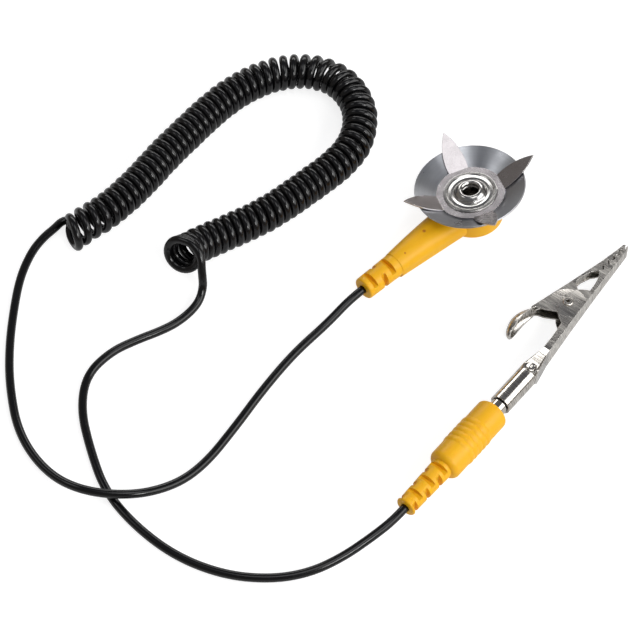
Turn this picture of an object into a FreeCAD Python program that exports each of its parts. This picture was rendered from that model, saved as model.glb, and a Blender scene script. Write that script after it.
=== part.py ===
"""Coiled earthing lead of an anti-static work place.

A yellow snap head carries a dished stainless disc with a four-pronged claw plate. Its black
cord runs over the bench, through a curly stretch and back, to a yellow banana plug, and a
nickel-plated crocodile clip is pushed on the plug's pin.

Millimetres. The origin is on the bench under the centre of the snap head, +Z is up, and the
lead lies on the plane z = 0.
"""
import FreeCAD, Part
import math
import os
import Sketcher
from FreeCAD import Placement, Rotation, Vector

doc = FreeCAD.newDocument("ground_lead")

# Driving dimensions: name, value in mm or degrees, meaning
SIZES = (
    ("cord_dia", 2.2, "outer diameter of the cord"),
    ("strand_dia", 0.9, "bare strands inside the cord"),
    ("sheet_steel", 0.42, "plated steel of the clip"),
    ("head_bearing", 223.5, "direction of the head's handle, degrees from +X"),
    ("button_dia", 16.8, "round end of the head"),
    ("button_height", 6.2, "round end of the head"),
    ("button_edge_low", 0.8, "rounding at the bench"),
    ("button_edge_top", 1.2, "rounding at the top"),
    ("handle_root_width", 10.4, "handle where it leaves the button"),
    ("handle_root_height", 6.35, "handle where it leaves the button"),
    ("handle_end_width", 6.45, "handle where the relief starts"),
    ("handle_end_height", 6.75, "handle where the relief starts"),
    ("handle_crest", 0.7, "rise of the handle's back between its two ends"),
    ("handle_belly", 2.6, "rounding of the handle's underside"),
    ("handle_start", 5.4, "first handle section, from the snap axis"),
    ("handle_end", 28.0, "last handle section, from the snap axis"),
    ("head_length", 39.0, "snap axis to the end of the relief"),
    ("head_axis_height", 3.5, "cord axis inside the head, above the bench"),
    ("head_relief_root", 6.45, "relief diameter at the handle"),
    ("head_relief_tip", 6.0, "relief diameter at the cord"),
    ("relief_slot", 1.35, "width of a relief slot"),
    ("relief_core", 1.45, "half thickness left between two relief slots"),
    ("cup_dia", 12.6, "snap socket cup, outside"),
    ("cup_floor", 1.8, "underside of the cup above the bench"),
    ("cup_wall", 0.35, "sheet of the cup's floor and rim"),
    ("cup_bore", 11.2, "inside of the cup"),
    ("cup_mouth", 10.3, "opening in the cup's rim"),
    ("rivet_dia", 1.6, "shank of the socket rivet"),
    ("tag_width", 2.4, "terminal tag"),
    ("tag_reach", 9.0, "snap axis to the turned-up end of the tag"),
    ("resistor_dia", 2.4, "body of the series resistor"),
    ("resistor_length", 6.3, "body of the series resistor"),
    ("resistor_lead", 0.6, "its wire"),
    ("resistor_start", 11.0, "snap axis to the resistor's body"),
    ("splice_at", 21.0, "snap axis to the middle of the splice"),
    ("splice_length", 4.0, "crimped ferrule"),
    ("splice_dia", 2.0, "crimped ferrule"),
    ("strip_length", 4.0, "bare strands beyond the jacket"),
    ("pivot_height", 4.7, "centre of the snap ring above the bench"),
    ("disc_height", 3.344, "snap ring to the top of the disc's flat"),
    ("disc_tilt", 9.0, "lean of the snapped-on disc, degrees"),
    ("disc_lean_bearing", 145.2, "direction of that lean, degrees from +X"),
    ("disc_sheet", 0.4, "stainless sheet of the dished disc"),
    ("disc_dia", 28.4, "rim of the dished disc"),
    ("disc_flat", 18.0, "flat centre of the dished disc"),
    ("disc_rise", 2.9, "rim above the flat"),
    ("claw_sheet", 0.35, "stainless sheet of the claw plate"),
    ("claw_ring", 17.8, "flat ring of the claw plate"),
    ("claw_root", 5.3, "width of a prong where it bends up"),
    ("claw_length", 11.0, "prong, from its bend to its point"),
    ("claw_bulge", 16.0, "radius of a prong's edges"),
    ("claw_bend", 30.5, "prong above the ring, degrees"),
    ("claw_turn", 20.0, "first prong from +X in the disc's plane, degrees"),
    ("claw_bore", 5.2, "hole for the eyelet in both sheets"),
    ("eyelet_barrel", 5.1, "outside of the eyelet's barrel"),
    ("eyelet_bore", 4.3, "hole through the eyelet"),
    ("eyelet_flange", 14.0, "rolled flange of the eyelet"),
    ("eyelet_top", 1.8, "top of the eyelet above the disc's flat"),
    ("stud_flange", 10.4, "snap stud under the disc"),
    ("stud_neck", 7.8, "neck that the snap ring grips"),
    ("stud_bulb", 9.5, "bulb below the snap ring"),
    ("stud_bore", 5.12, "hole of the stud round the eyelet's barrel"),
    ("stud_length", 4.4, "stud below the disc"),
    ("snap_ring_dia", 10.0, "snap ring, centre of its wire"),
    ("snap_ring_wire", 0.7, "wire of the snap ring"),
    ("snap_ring_arc", 318.0, "wound part of the snap ring, degrees"),
    ("plug_bearing", 51.49, "direction of the plug's pin, degrees from +X"),
    ("plug_pitch", 1.45, "pin below level, degrees"),
    ("plug_height", 4.2, "axis at the plug's front face, above the bench"),
    ("plug_dia", 8.45, "plug body"),
    ("plug_length", 20.9, "plug body"),
    ("plug_nose", 1.0, "rounding of the body's front edge"),
    ("plug_heel", 1.5, "rounding of the body's rear edge"),
    ("grip_start", 6.6, "front face to the first grip ring"),
    ("grip_pitch", 1.7, "from grip ring to grip ring"),
    ("grip_round", 1.75, "radius of a grip ring's crown"),
    ("plug_relief_length", 14.6, "relief behind the body"),
    ("plug_relief_root", 5.7, "relief diameter at the body"),
    ("plug_relief_tip", 5.0, "relief diameter before its collar"),
    ("plug_collar", 5.3, "collar at the relief's end"),
    ("plug_collar_length", 1.7, "collar at the relief's end"),
    ("plug_slot_start", 1.7, "body to the middle of the first slot"),
    ("plug_slot_pitch", 2.35, "from slot to slot"),
    ("pin_collar", 4.4, "collar of the pin in front of the plug"),
    ("pin_collar_length", 2.5, "collar of the pin in front of the plug"),
    ("pin_core", 2.4, "core that the spring cage turns on"),
    ("pin_length", 13.7, "pin in front of the plug"),
    ("pin_head", 3.2, "head that keeps the cage on"),
    ("pin_head_length", 0.8, "head that keeps the cage on"),
    ("pin_shank", 3.4, "shank moulded into the plug"),
    ("pin_shank_length", 9.5, "shank moulded into the plug"),
    ("pin_cup_depth", 2.6, "bore for the strands in the shank"),
    ("cage_clearance", 0.08, "between cage and core, all round"),
    ("cage_sheet", 0.25, "leaf springs of the cage"),
    ("cage_bulge", 4.3, "widest place of the leaves"),
    ("cage_slot", 0.5, "gap between two leaves"),
    ("barrel_start", 2.8, "plug face to the clip's mouth"),
    ("barrel_end", 14.0, "plug face to where the barrel is pressed flat"),
    ("barrel_bore", 4.5, "inside of the clip's barrel"),
    ("barrel_dia", 5.5, "outside of the clip's barrel"),
    ("neck_end", 21.0, "end of the flattened neck"),
    ("clip_width", 4.9, "over the clip's two walls at the rivet"),
    ("clip_taper", 0.036, "lean of each wall towards the nose, mm per mm"),
    ("jaw_gap", 0.25, "between fixed and moving walls at the pivot"),
    ("pivot_along", 37.5, "plug face to the clip's rivet"),
    ("pivot_side", 4.5, "plug axis to the clip's rivet"),
    ("clip_rivet_dia", 2.0, "shank of the clip's rivet"),
    ("clip_rivet_head", 2.8, "head of the clip's rivet"),
    ("clip_rivet_bore", 1.0, "hollow of the clip's rivet"),
    ("clip_rivet_rise", 0.35, "rivet head outside the walls"),
    ("rivet_clearance", 0.05, "rivet in the moving jaw, all round"),
    ("teeth", 4, "teeth in each wall of a jaw"),
    ("teeth_start", 50.8, "plug face to the rear of the teeth"),
    ("teeth_end", 59.6, "plug face to the front of the teeth"),
    ("teeth_rear_side", 3.95, "plug axis to the rear of the teeth"),
    ("teeth_front_side", 3.4, "plug axis to the front of the teeth"),
    ("teeth_height", 0.8, "root to crest"),
    ("teeth_play", 0.4, "between closed teeth"),
    ("spring_wire", 0.38, "torsion spring"),
    ("spring_dia", 3.1, "torsion spring, centre of its wire"),
    ("spring_pitch", 0.8, "torsion spring, from coil to coil"),
    ("coil_dia", 9.0, "outside of the curly stretch"),
    ("coil_end_dia", 10.2, "outside of its first, loosened turns"),
    ("coil_gap", 0.47, "least clear space from curl to curl"),
    ("coil_loose_pitch", 3.5, "from curl to curl in the first turns"),
    ("coil_loose_length", 14.0, "stretch of loosened turns"),
    ("mouth_dia", 10.0, "last quarter turn where it leaves the curls, centre of the cord"),
    ("mouth_advance", 1.0, "advance of that quarter turn along the axis"),
    ("tail_radius", 1.1, "height of a lying cord's axis above the bench"),
)


class Size:
    """A number that remembers the sheet expression it comes from."""

    def __init__(self, value, text=None):
        self.value = float(value)
        self.text = text if text else f"({self.value:.6f})"

    def __add__(self, other):
        other = as_size(other)
        return Size(self.value + other.value, f"({self.text} + {other.text})")

    def __sub__(self, other):
        other = as_size(other)
        return Size(self.value - other.value, f"({self.text} - {other.text})")

    def __mul__(self, other):
        other = as_size(other)
        return Size(self.value * other.value, f"({self.text} * {other.text})")

    def __truediv__(self, other):
        other = as_size(other)
        return Size(self.value / other.value, f"({self.text} / {other.text})")

    def __neg__(self):
        return Size(0) - self

    __radd__ = __add__
    __rmul__ = __mul__


def as_size(number):
    return number if isinstance(number, Size) else Size(number)


class Sizes:
    """The spreadsheet, with each alias as an attribute."""

    def __init__(self, table):
        sheet = doc.addObject("Spreadsheet::Sheet", "Sizes")
        for row, (name, value, meaning) in enumerate(table, start=1):
            sheet.set(f"A{row}", name)
            sheet.set(f"B{row}", str(value))
            sheet.setAlias(f"B{row}", name)
            sheet.set(f"C{row}", meaning)
            setattr(self, name, Size(value, f"Sizes.{name}"))


S = Sizes(SIZES)
doc.recompute()


# Frames that the pieces are placed by
def frame_at(origin, rotation):
    return Placement(origin, rotation)


Z_AXIS = Vector(0, 0, 1)
Y_AXIS = Vector(0, 1, 0)
X_AXIS = Vector(1, 0, 0)

# Head: x along the handle, z up
HEAD = frame_at(Vector(0, 0, 0), Rotation(Z_AXIS, S.head_bearing.value))

# Disc: z along its own axis, origin on top of its flat, leaning about the snap ring's centre
LEAN_AXIS = Rotation(Z_AXIS, S.disc_lean_bearing.value + 90).multVec(X_AXIS)
DISC_ROTATION = Rotation(LEAN_AXIS, S.disc_tilt.value)
SNAP_CENTRE = Vector(0, 0, S.pivot_height.value)
SNAP_AXIS = DISC_ROTATION.multVec(Z_AXIS)
DISC = frame_at(SNAP_CENTRE + SNAP_AXIS * S.disc_height.value, DISC_ROTATION)

# Plug and clip: x along the pin, y to its left
PLUG_ORIGIN = Vector(3.27, -64.46, S.plug_height.value)
PLUG = frame_at(PLUG_ORIGIN, Rotation(Z_AXIS, S.plug_bearing.value) * Rotation(Y_AXIS, S.plug_pitch.value))

NODES = {}


def keep(label, obj, frame=None):
    """Register a finished piece under its node name."""
    obj.Label = label
    if frame is not None:
        obj.Placement = frame
    NODES[label] = obj
    return obj


# Sketches, bodies and booleans
def arc_centre(start, end, radius):
    """Centre of the short arc from start to end, left of travel for a positive radius."""
    middle = (start + end) * 0.5
    half = (end - start) * 0.5
    rise = math.sqrt(radius * radius - half.Length * half.Length)
    left = Vector(-half.y, half.x, 0).normalize()
    return middle + left * math.copysign(rise, radius)


def draw_outline(sketch, points):
    """Closed outline through (x, y) points. A third value is the radius of the arc that
    reaches the point, positive where it turns left and negative where it turns right."""
    points = [tuple(as_size(value) for value in point) for point in points]
    corners = [Vector(point[0].value, point[1].value, 0) for point in points]
    pieces = []
    for index, point in enumerate(points):
        start = corners[index - 1]
        end = corners[index]
        if len(point) == 2:
            geometry = sketch.addGeometry(Part.LineSegment(start, end))
            pieces.append((geometry, 1, 2))
            continue
        centre = arc_centre(start, end, point[2].value)
        first, last = (start, end) if point[2].value > 0 else (end, start)
        angles = [math.atan2(v.y - centre.y, v.x - centre.x) for v in (first, last)]
        if angles[1] < angles[0]:
            angles[1] += 2 * math.pi
        circle = Part.Circle(centre, Z_AXIS, abs(point[2].value))
        geometry = sketch.addGeometry(Part.ArcOfCircle(circle, *angles))
        pieces.append((geometry, 1, 2) if point[2].value > 0 else (geometry, 2, 1))
    constraints = []
    bound = []

    def add(constraint, size=None):
        constraints.append(constraint)
        bound.append(size)

    for index, (geometry, start, end) in enumerate(pieces):
        following = pieces[(index + 1) % len(pieces)]
        add(Sketcher.Constraint("Coincident", geometry, end, following[0], following[1]))
    for (geometry, start, end), point in zip(pieces, points):
        for value, kind, axis in ((point[0], "DistanceX", -2), (point[1], "DistanceY", -1)):
            if abs(value.value) < 1e-9:
                add(Sketcher.Constraint("PointOnObject", geometry, end, axis))
            else:
                add(Sketcher.Constraint(kind, -1, 1, geometry, end, value.value), value)
        if len(point) == 3:
            radius = point[2] if point[2].value > 0 else -point[2]
            add(Sketcher.Constraint("Radius", geometry, radius.value), radius)
    first = sketch.addConstraint(constraints)[0]
    for index, size in enumerate(bound):
        if size is not None and "Sizes" in size.text:
            sketch.setExpression(f"Constraints[{first + index}]", size.text)


def body_sketch(body, plane, points, height=None):
    sketch = body.newObject("Sketcher::SketchObject", body.Name + "_sketch")
    origin = [item for item in body.Origin.OriginFeatures if item.Role == plane][0]
    sketch.AttachmentSupport = [(origin, "")]
    sketch.MapMode = "FlatFace"
    draw_outline(sketch, points)
    if height is not None:
        height = as_size(height)
        sketch.AttachmentOffset = Placement(Vector(0, 0, height.value), Rotation())
        sketch.setExpression("AttachmentOffset.Base.z", height.text)
    return sketch


def turned(name, points, axis, frame):
    """Revolved body. The outline is (x, radius) for axis "H" and (radius, z) for axis "V"."""
    body = doc.addObject("PartDesign::Body", name)
    plane = "XY_Plane" if axis == "H" else "XZ_Plane"
    sketch = body_sketch(body, plane, points)
    turn = body.newObject("PartDesign::Revolution", name + "_turn")
    turn.Profile = sketch
    turn.ReferenceAxis = (sketch, [axis + "_Axis"])
    turn.Angle = 360
    body.Placement = frame
    return body


def padded(name, points, low, high, frame):
    """Outline in the frame's xy plane, filled from height low to height high."""
    body = doc.addObject("PartDesign::Body", name)
    sketch = body_sketch(body, "XY_Plane", points, low)
    pad = body.newObject("PartDesign::Pad", name + "_pad")
    pad.Profile = sketch
    length = as_size(high) - low
    pad.Length = length.value
    pad.setExpression("Length", length.text)
    body.Placement = frame
    return body


def primitive(kind, name, frame, offset, **sizes):
    """Part primitive whose properties are bound to sheet expressions."""
    obj = doc.addObject("Part::" + kind, name)
    for prop, size in sizes.items():
        size = as_size(size)
        setattr(obj, prop, size.value)
        obj.setExpression(prop, size.text)
    obj.Placement = frame * offset
    return obj


def moved(x=0.0, y=0.0, z=0.0, rotation=None):
    values = [as_size(value).value for value in (x, y, z)]
    return Placement(Vector(*values), rotation or Rotation())


def fused(name, parts):
    obj = doc.addObject("Part::MultiFuse", name)
    obj.Shapes = parts
    obj.Refine = True
    return obj


def cut(name, base, tools):
    obj = doc.addObject("Part::Cut", name)
    obj.Base = base
    obj.Tool = tools[0] if len(tools) == 1 else fused(name + "_tools", tools)
    obj.Refine = True
    return obj


def relief_slots(name, frame, stations, reach):
    """Cutting blocks of a strain relief: each station is (x, across), across being "z" for
    a pair above and below the cord and "y" for a pair left and right of it."""
    blocks = []
    for number, (along, across) in enumerate(stations):
        for side in (1, -1):
            turn = Rotation(X_AXIS, (0 if across == "z" else 90) + (0 if side > 0 else 180))
            corner = Vector(as_size(along).value, 0, 0) + turn.multVec(Vector(0, -reach, S.relief_core.value))
            block = primitive(
                "Box", f"{name}_{number}_{'a' if side > 0 else 'b'}", frame,
                Placement(corner, turn), Length=S.relief_slot, Width=2 * reach, Height=reach)
            blocks.append(block)
    return blocks


# Cord route helpers
def free_tube(name, points, diameter):
    """Tube along straight runs joined by tangent arcs, each as large as its two runs allow."""
    edges = []
    radii = []
    start = points[0]
    for before, corner, after in zip(points, points[1:], points[2:]):
        inward = (corner - before).normalize()
        outward = (after - corner).normalize()
        half_turn = inward.getAngle(outward) / 2
        trim = 0.45 * min((corner - before).Length, (after - corner).Length)
        radius = trim / math.tan(half_turn)
        radii.append(radius)
        entry = corner - inward * trim
        leave = corner + outward * trim
        top = corner + (outward - inward).normalize() * (radius / math.cos(half_turn) - radius)
        edges.append(Part.LineSegment(start, entry).toShape())
        edges.append(Part.Arc(entry, top, leave).toShape())
        start = leave
    edges.append(Part.LineSegment(start, points[-1]).toShape())
    path = Part.Wire(edges)
    section = Part.Wire([Part.Circle(points[0], points[1] - points[0], diameter / 2).toShape()])
    solid = path.makePipeShell([section], True, False)
    ratio = solid.Volume / (math.pi * diameter * diameter / 4 * path.Length)
    print(f"{name}: length {path.Length:.1f} mm, least radius {min(radii):.1f} mm,",
          f"volume / (section x length) {ratio:.4f}")
    print("  radii", " ".join(f"{radius:.0f}" for radius in radii))
    tube = doc.addObject("Part::Feature", name)
    tube.Shape = solid
    return keep(name, tube, Placement())


def biarc(start, start_way, end, end_way):
    """Two arcs from start to end that keep both directions."""
    span = end - start
    ways = start_way + end_way
    spread = 2 * (1 - start_way.dot(end_way))
    along = span.dot(ways)
    if spread < 1e-9:
        leg = span.dot(span) / (4 * span.dot(end_way))
    else:
        leg = (-along + math.sqrt(along * along + spread * span.dot(span))) / spread
    corner_in = start + start_way * leg
    corner_out = end - end_way * leg
    joint = (corner_in + corner_out) * 0.5
    arcs = []
    for first, corner, last in ((start, corner_in, joint), (joint, corner_out, end)):
        middle = (first + last) * 0.5
        half_chord = (last - first).Length / 2
        rise = corner - middle
        bend = math.atan2(rise.Length, half_chord)
        crown = middle + rise.normalize() * (half_chord * math.tan(bend / 2))
        arcs.append(Part.Arc(first, crown, last))
    return arcs


def wound_tube(name, stations, lead_in, lead_out, diameter, sides, frame=None):
    """Tube wound through stations of (point, direction), with straight ends before the first
    and after the last. Its section is a polygon inscribed in the wire's circle."""
    edges = [Part.LineSegment(stations[0][0] - stations[0][1] * lead_in, stations[0][0]).toShape()]
    radii = []
    for (start, start_way), (end, end_way) in zip(stations, stations[1:]):
        for arc in biarc(start, start_way, end, end_way):
            edges.append(arc.toShape())
            radii.append(edges[-1].Curve.Radius)
    edges.append(Part.LineSegment(stations[-1][0], stations[-1][0] + stations[-1][1] * lead_out).toShape())
    path = Part.Wire(edges)
    way = stations[0][1]
    across = way.cross(Z_AXIS).normalize()
    upward = across.cross(way)
    origin = stations[0][0] - way * lead_in
    corners = []
    for corner in range(sides + 1):
        angle = 2 * math.pi * (corner + 0.5) / sides
        corners.append(origin + (across * math.cos(angle) + upward * math.sin(angle)) * (diameter / 2))
    solid = path.makePipeShell([Part.makePolygon(corners)], True, False)
    area = sides / 2 * math.sin(2 * math.pi / sides) * diameter * diameter / 4
    points = [point for edge in edges for point in edge.discretize(Number=7)[:-1]]
    gap, place = least_gap(points, diameter)
    print(f"{name}: {len(stations)} stations, length {path.Length:.1f} mm,",
          f"least radius {min(radii):.2f} mm, least gap to itself {gap:.2f} mm",
          f"at ({place.x:.0f}, {place.y:.0f}, {place.z:.0f}),",
          f"lowest axis point {min(point.z for point in points):.2f} mm,",
          f"volume / (section x length) {solid.Volume / (area * path.Length):.4f}")
    tube = doc.addObject("Part::Feature", name)
    tube.Shape = solid
    return keep(name, tube, frame or Placement())


def least_gap(points, diameter):
    """Least clear space between stretches of a wound line that are over two diameters of line
    apart, and where it is."""
    along = [0.0]
    for first, second in zip(points, points[1:]):
        along.append(along[-1] + first.distanceToPoint(second))
    best = 1e9
    place = points[0]
    for index, point in enumerate(points):
        for other in range(index + 1, len(points)):
            if along[other] - along[index] > 12 * diameter:
                break
            if along[other] - along[index] > 2.5 * diameter:
                distance = point.distanceToPoint(points[other])
                if distance < best:
                    best = distance
                    place = point
    return best - diameter, place


# Snap head
def head_relief_outline():
    root = S.head_relief_root / 2
    tip = S.head_relief_tip / 2
    edge = Size(0.5)
    return [
        (S.handle_end - 1.5, Size(0)),
        (S.head_length, Size(0)),
        (S.head_length, tip - edge),
        (S.head_length - edge, tip, edge),
        (S.handle_end - 1.5, root),
    ]


def head_handle():
    """Handle lofted through rounded sections, flat on the bench."""
    body = doc.addObject("PartDesign::Body", "handle")
    sketches = []
    steps = 3
    for step in range(steps + 1):
        share = step / steps
        along = S.handle_start + (S.handle_end - S.handle_start) * share
        half = (S.handle_root_width + (S.handle_end_width - S.handle_root_width) * share) / 2
        top = (S.handle_root_height + (S.handle_end_height - S.handle_root_height) * share
               + S.handle_crest * (4 * share * (1 - share)))
        low = S.handle_belly
        crown = half * (0.68 + 0.25 * share)
        # Sketch x runs to the head's left and sketch y up, on the plane x = along
        points = [
            (half - low, Size(0)),
            (half, low, low),
            (half, top - crown),
            (half - crown, top, crown),
            (-(half - crown), top),
            (-half, top - crown, crown),
            (-half, low),
            (-(half - low), Size(0), low),
        ]
        sketches.append(body_sketch(body, "YZ_Plane", points, along))
    loft = body.newObject("PartDesign::AdditiveLoft", "handle_loft")
    loft.Profile = sketches[0]
    loft.Sections = sketches[1:]
    body.Placement = HEAD
    return body


def head_button():
    radius = S.button_dia / 2
    return turned("button", [
        (Size(0), Size(0)),
        (radius - S.button_edge_low, Size(0)),
        (radius, S.button_edge_low, S.button_edge_low),
        (radius, S.button_height - S.button_edge_top),
        (radius - S.button_edge_top, S.button_height, S.button_edge_top),
        (Size(0), S.button_height),
    ], "V", HEAD)


def head_axis():
    """Frame of the cord's axis inside the head."""
    return HEAD * moved(z=S.head_axis_height)


def socket_cup():
    """Pressed cup that the snap ring sits in."""
    outer = S.cup_dia / 2
    bore = S.cup_bore / 2
    mouth = S.cup_mouth / 2
    floor = S.cup_floor
    top = S.button_height
    return keep("socket_cup", turned("socket_cup", [
        (S.rivet_dia / 2, floor),
        (outer, floor),
        (outer, top),
        (mouth, top),
        (mouth, top - 0.25),
        (bore, top - 0.25),
        (bore, floor + S.cup_wall),
        (S.rivet_dia / 2, floor + S.cup_wall),
    ], "V", HEAD))


def socket_rivet():
    """Rivet through the cup's floor and the terminal tag."""
    shank = S.rivet_dia / 2
    tag_low = S.cup_floor - 0.4
    floor_top = S.cup_floor + S.cup_wall
    return keep("socket_rivet", turned("socket_rivet", [
        (Size(0), tag_low - 0.4),
        (shank + 0.5, tag_low - 0.4),
        (shank + 0.5, tag_low),
        (shank, tag_low),
        (shank, floor_top),
        (shank + 0.6, floor_top),
        (shank + 0.35, floor_top + 0.35),
        (Size(0), floor_top + 0.35),
    ], "V", HEAD))


def terminal_tag():
    """Tag under the cup with a turned-up end that the resistor's wire goes through."""
    half = S.tag_width / 2
    high = S.cup_floor
    low = high - 0.4
    ring = primitive("Cylinder", "tag_ring", HEAD, moved(z=low), Radius=half + 0.8, Height=high - low)
    strip = primitive("Box", "tag_strip", HEAD, moved(y=-half, z=low),
                      Length=S.tag_reach, Width=S.tag_width, Height=high - low)
    lug = primitive("Box", "tag_lug", HEAD, moved(x=S.tag_reach - 0.4, y=-half, z=low),
                    Length=0.4, Width=S.tag_width, Height=S.head_axis_height - low + 1.0)
    hole = primitive("Cylinder", "tag_hole", HEAD, moved(), Radius=S.rivet_dia / 2, Height=S.cup_floor + 1.0)
    wire_hole = primitive("Cylinder", "tag_wire_hole", head_axis(),
                          moved(x=S.tag_reach - 1.5, rotation=Rotation(Y_AXIS, 90)),
                          Radius=S.resistor_lead / 2, Height=3.0)
    plate = fused("tag_plate", [ring, strip, lug])
    return keep("terminal_tag", cut("terminal_tag", plate, [hole, wire_hole]))


def series_resistor():
    """Axial resistor that limits the current to the wearer or the work."""
    wire = S.resistor_lead / 2
    body = S.resistor_dia / 2
    start = S.resistor_start
    end = start + S.resistor_length
    cap = Size(1.2)
    return keep("series_resistor", turned("series_resistor", [
        (S.tag_reach - 0.8, Size(0)),
        (S.splice_at, Size(0)),
        (S.splice_at, wire),
        (end, wire),
        (end, body - 0.3),
        (end - 0.3, body, 0.3),
        (end - cap, body),
        (end - cap - 0.2, body - 0.15),
        (start + cap + 0.2, body - 0.15),
        (start + cap, body),
        (start + 0.3, body),
        (start, body - 0.3, 0.3),
        (start, wire),
        (S.tag_reach - 0.8, wire),
    ], "H", head_axis()))


def splice_ferrule():
    """Crimped ferrule between the resistor's wire and the cord's strands."""
    start = S.splice_at - S.splice_length / 2
    end = S.splice_at + S.splice_length / 2
    outer = S.splice_dia / 2
    return keep("splice_ferrule", turned("splice_ferrule", [
        (start, S.resistor_lead / 2),
        (S.splice_at, S.resistor_lead / 2),
        (S.splice_at, S.strand_dia / 2),
        (end, S.strand_dia / 2),
        (end, outer),
        (S.splice_at + 0.6, outer),
        (S.splice_at + 0.3, outer - 0.2),
        (S.splice_at - 0.3, outer - 0.2),
        (S.splice_at - 0.6, outer),
        (start, outer),
    ], "H", head_axis()))


def head_cord_end():
    """End of the cord inside the head: jacket, then bare strands."""
    jacket_start = S.splice_at + S.strip_length
    return keep("head_cord_end", turned("head_cord_end", [
        (S.splice_at, Size(0)),
        (S.head_length, Size(0)),
        (S.head_length, S.cord_dia / 2),
        (jacket_start, S.cord_dia / 2),
        (jacket_start, S.strand_dia / 2),
        (S.splice_at, S.strand_dia / 2),
    ], "H", head_axis()))


def snap_head_moulding(inserts):
    """Yellow moulding round the cup, the resistor and the cord's end."""
    relief = turned("head_relief", head_relief_outline(), "H", head_axis())
    skin = fused("head_skin", [head_button(), head_handle(), relief])
    recess = primitive("Cylinder", "cup_recess", HEAD, moved(z=S.cup_floor),
                       Radius=S.cup_dia / 2, Height=S.button_height)
    slots = relief_slots("head_slot", head_axis(), [
        (S.handle_end + 2.0, "z"),
        (S.handle_end + 4.9, "y"),
        (S.handle_end + 8.2, "z"),
    ], 4.0)
    return keep("snap_head_moulding", cut("snap_head_moulding", skin, [recess] + slots + inserts))


# Snapped-on disc
def dished_disc():
    """Stainless disc, flat in the middle and flared at the rim."""
    sheet = S.disc_sheet
    flat = S.disc_flat / 2
    rim = S.disc_dia / 2
    slope = math.atan2(S.disc_rise.value, rim.value - flat.value)
    out = sheet * math.sin(slope)
    down = sheet * math.cos(slope)
    shift = sheet * math.tan(slope / 2)
    return keep("dished_disc", turned("dished_disc", [
        (S.claw_bore / 2, -sheet),
        (flat + shift, -sheet),
        (rim + out, S.disc_rise - down),
        (rim, S.disc_rise),
        (flat, Size(0)),
        (S.claw_bore / 2, Size(0)),
    ], "V", DISC))


def claw_plate():
    """Flat ring with four pointed prongs bent up from its edge."""
    body = doc.addObject("PartDesign::Body", "claw_plate")
    ring = body_sketch(body, "XZ_Plane", [
        (S.claw_bore / 2, Size(0)),
        (S.claw_ring / 2, Size(0)),
        (S.claw_ring / 2, S.claw_sheet),
        (S.claw_bore / 2, S.claw_sheet),
    ])
    turn = body.newObject("PartDesign::Revolution", "claw_ring_turn")
    turn.Profile = ring
    turn.ReferenceAxis = (ring, ["V_Axis"])
    turn.Angle = 360
    half = S.claw_root / 2
    prong = body_sketch(body, "XY_Plane", [
        (Size(0), -half),
        (S.claw_length, Size(0), S.claw_bulge),
        (Size(0), half, S.claw_bulge),
    ])
    chord = math.sqrt((S.claw_ring.value / 2) ** 2 - half.value ** 2)
    prong.AttachmentOffset = (Placement(Vector(chord, 0, 0), Rotation())
                              * Placement(Vector(0, 0, 0), Rotation(Y_AXIS, -S.claw_bend.value)))
    pad = body.newObject("PartDesign::Pad", "claw_prong_pad")
    pad.Profile = prong
    pad.setExpression("Length", "Sizes.claw_sheet")
    doc.recompute()
    pattern = body.newObject("PartDesign::PolarPattern", "claw_prongs")
    pattern.Originals = [pad]
    pattern.Axis = ([item for item in body.Origin.OriginFeatures if item.Role == "Z_Axis"][0], [""])
    pattern.Angle = 360
    pattern.Occurrences = 4
    body.Tip = pattern
    return keep("claw_plate", body, DISC * Placement(Vector(0, 0, 0), Rotation(Z_AXIS, S.claw_turn.value)))


def centre_eyelet():
    """Eyelet that clamps claw plate, disc and stud together."""
    bore = S.eyelet_bore / 2
    barrel = S.eyelet_barrel / 2
    flange = S.eyelet_flange / 2
    seat = S.claw_sheet
    top = S.eyelet_top
    foot = -(S.disc_sheet + S.stud_length)
    return keep("centre_eyelet", turned("centre_eyelet", [
        (bore, foot - 0.3),
        (barrel + 0.65, foot - 0.3),
        (barrel + 0.65, foot),
        (barrel, foot),
        (barrel, seat),
        (flange, seat),
        (flange, seat + 0.1),
        (flange - 0.2, seat + 0.3, 0.2),
        (flange - 0.8, seat + 0.3),
        (flange - 1.1, seat + 0.12),
        (flange - 1.9, seat + 0.2),
        (flange - 2.6, seat + 0.12),
        (flange - 3.1, seat + 0.7, -0.9),
        (bore + 1.2, top - 0.25),
        (bore + 0.6, top, 0.75),
        (bore + 0.25, top - 0.1, 0.45),
        (bore, top - 0.4),
        (bore, top - 0.9),
        (bore + 0.15, top - 1.05),
        (bore + 0.15, top - 1.35),
        (bore, top - 1.5),
    ], "V", DISC))


def snap_stud():
    """Stud under the disc: flange, neck and bulb."""
    bore = S.stud_bore / 2
    neck = S.stud_neck / 2
    bulb = S.stud_bulb / 2
    flange = S.stud_flange / 2
    top = -S.disc_sheet
    low = top - S.stud_length
    return keep("snap_stud", turned("snap_stud", [
        (bore, low),
        (bulb - 0.5, low),
        (bulb, low + 0.5, 0.5),
        (bulb, low + 0.7),
        (neck, low + 1.25),
        (neck, top - 0.9),
        (neck + 0.35, top - 0.55, -0.35),
        (flange, top - 0.45),
        (flange, top),
        (bore, top),
    ], "V", DISC))


def socket_spring():
    """Open wire ring that grips the stud's neck inside the cup."""
    ring = primitive("Torus", "socket_spring", DISC, moved(z=-S.disc_height), Radius1=S.snap_ring_dia / 2,
                     Radius2=S.snap_ring_wire / 2, Angle3=S.snap_ring_arc)
    return keep("socket_spring", ring)


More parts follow.
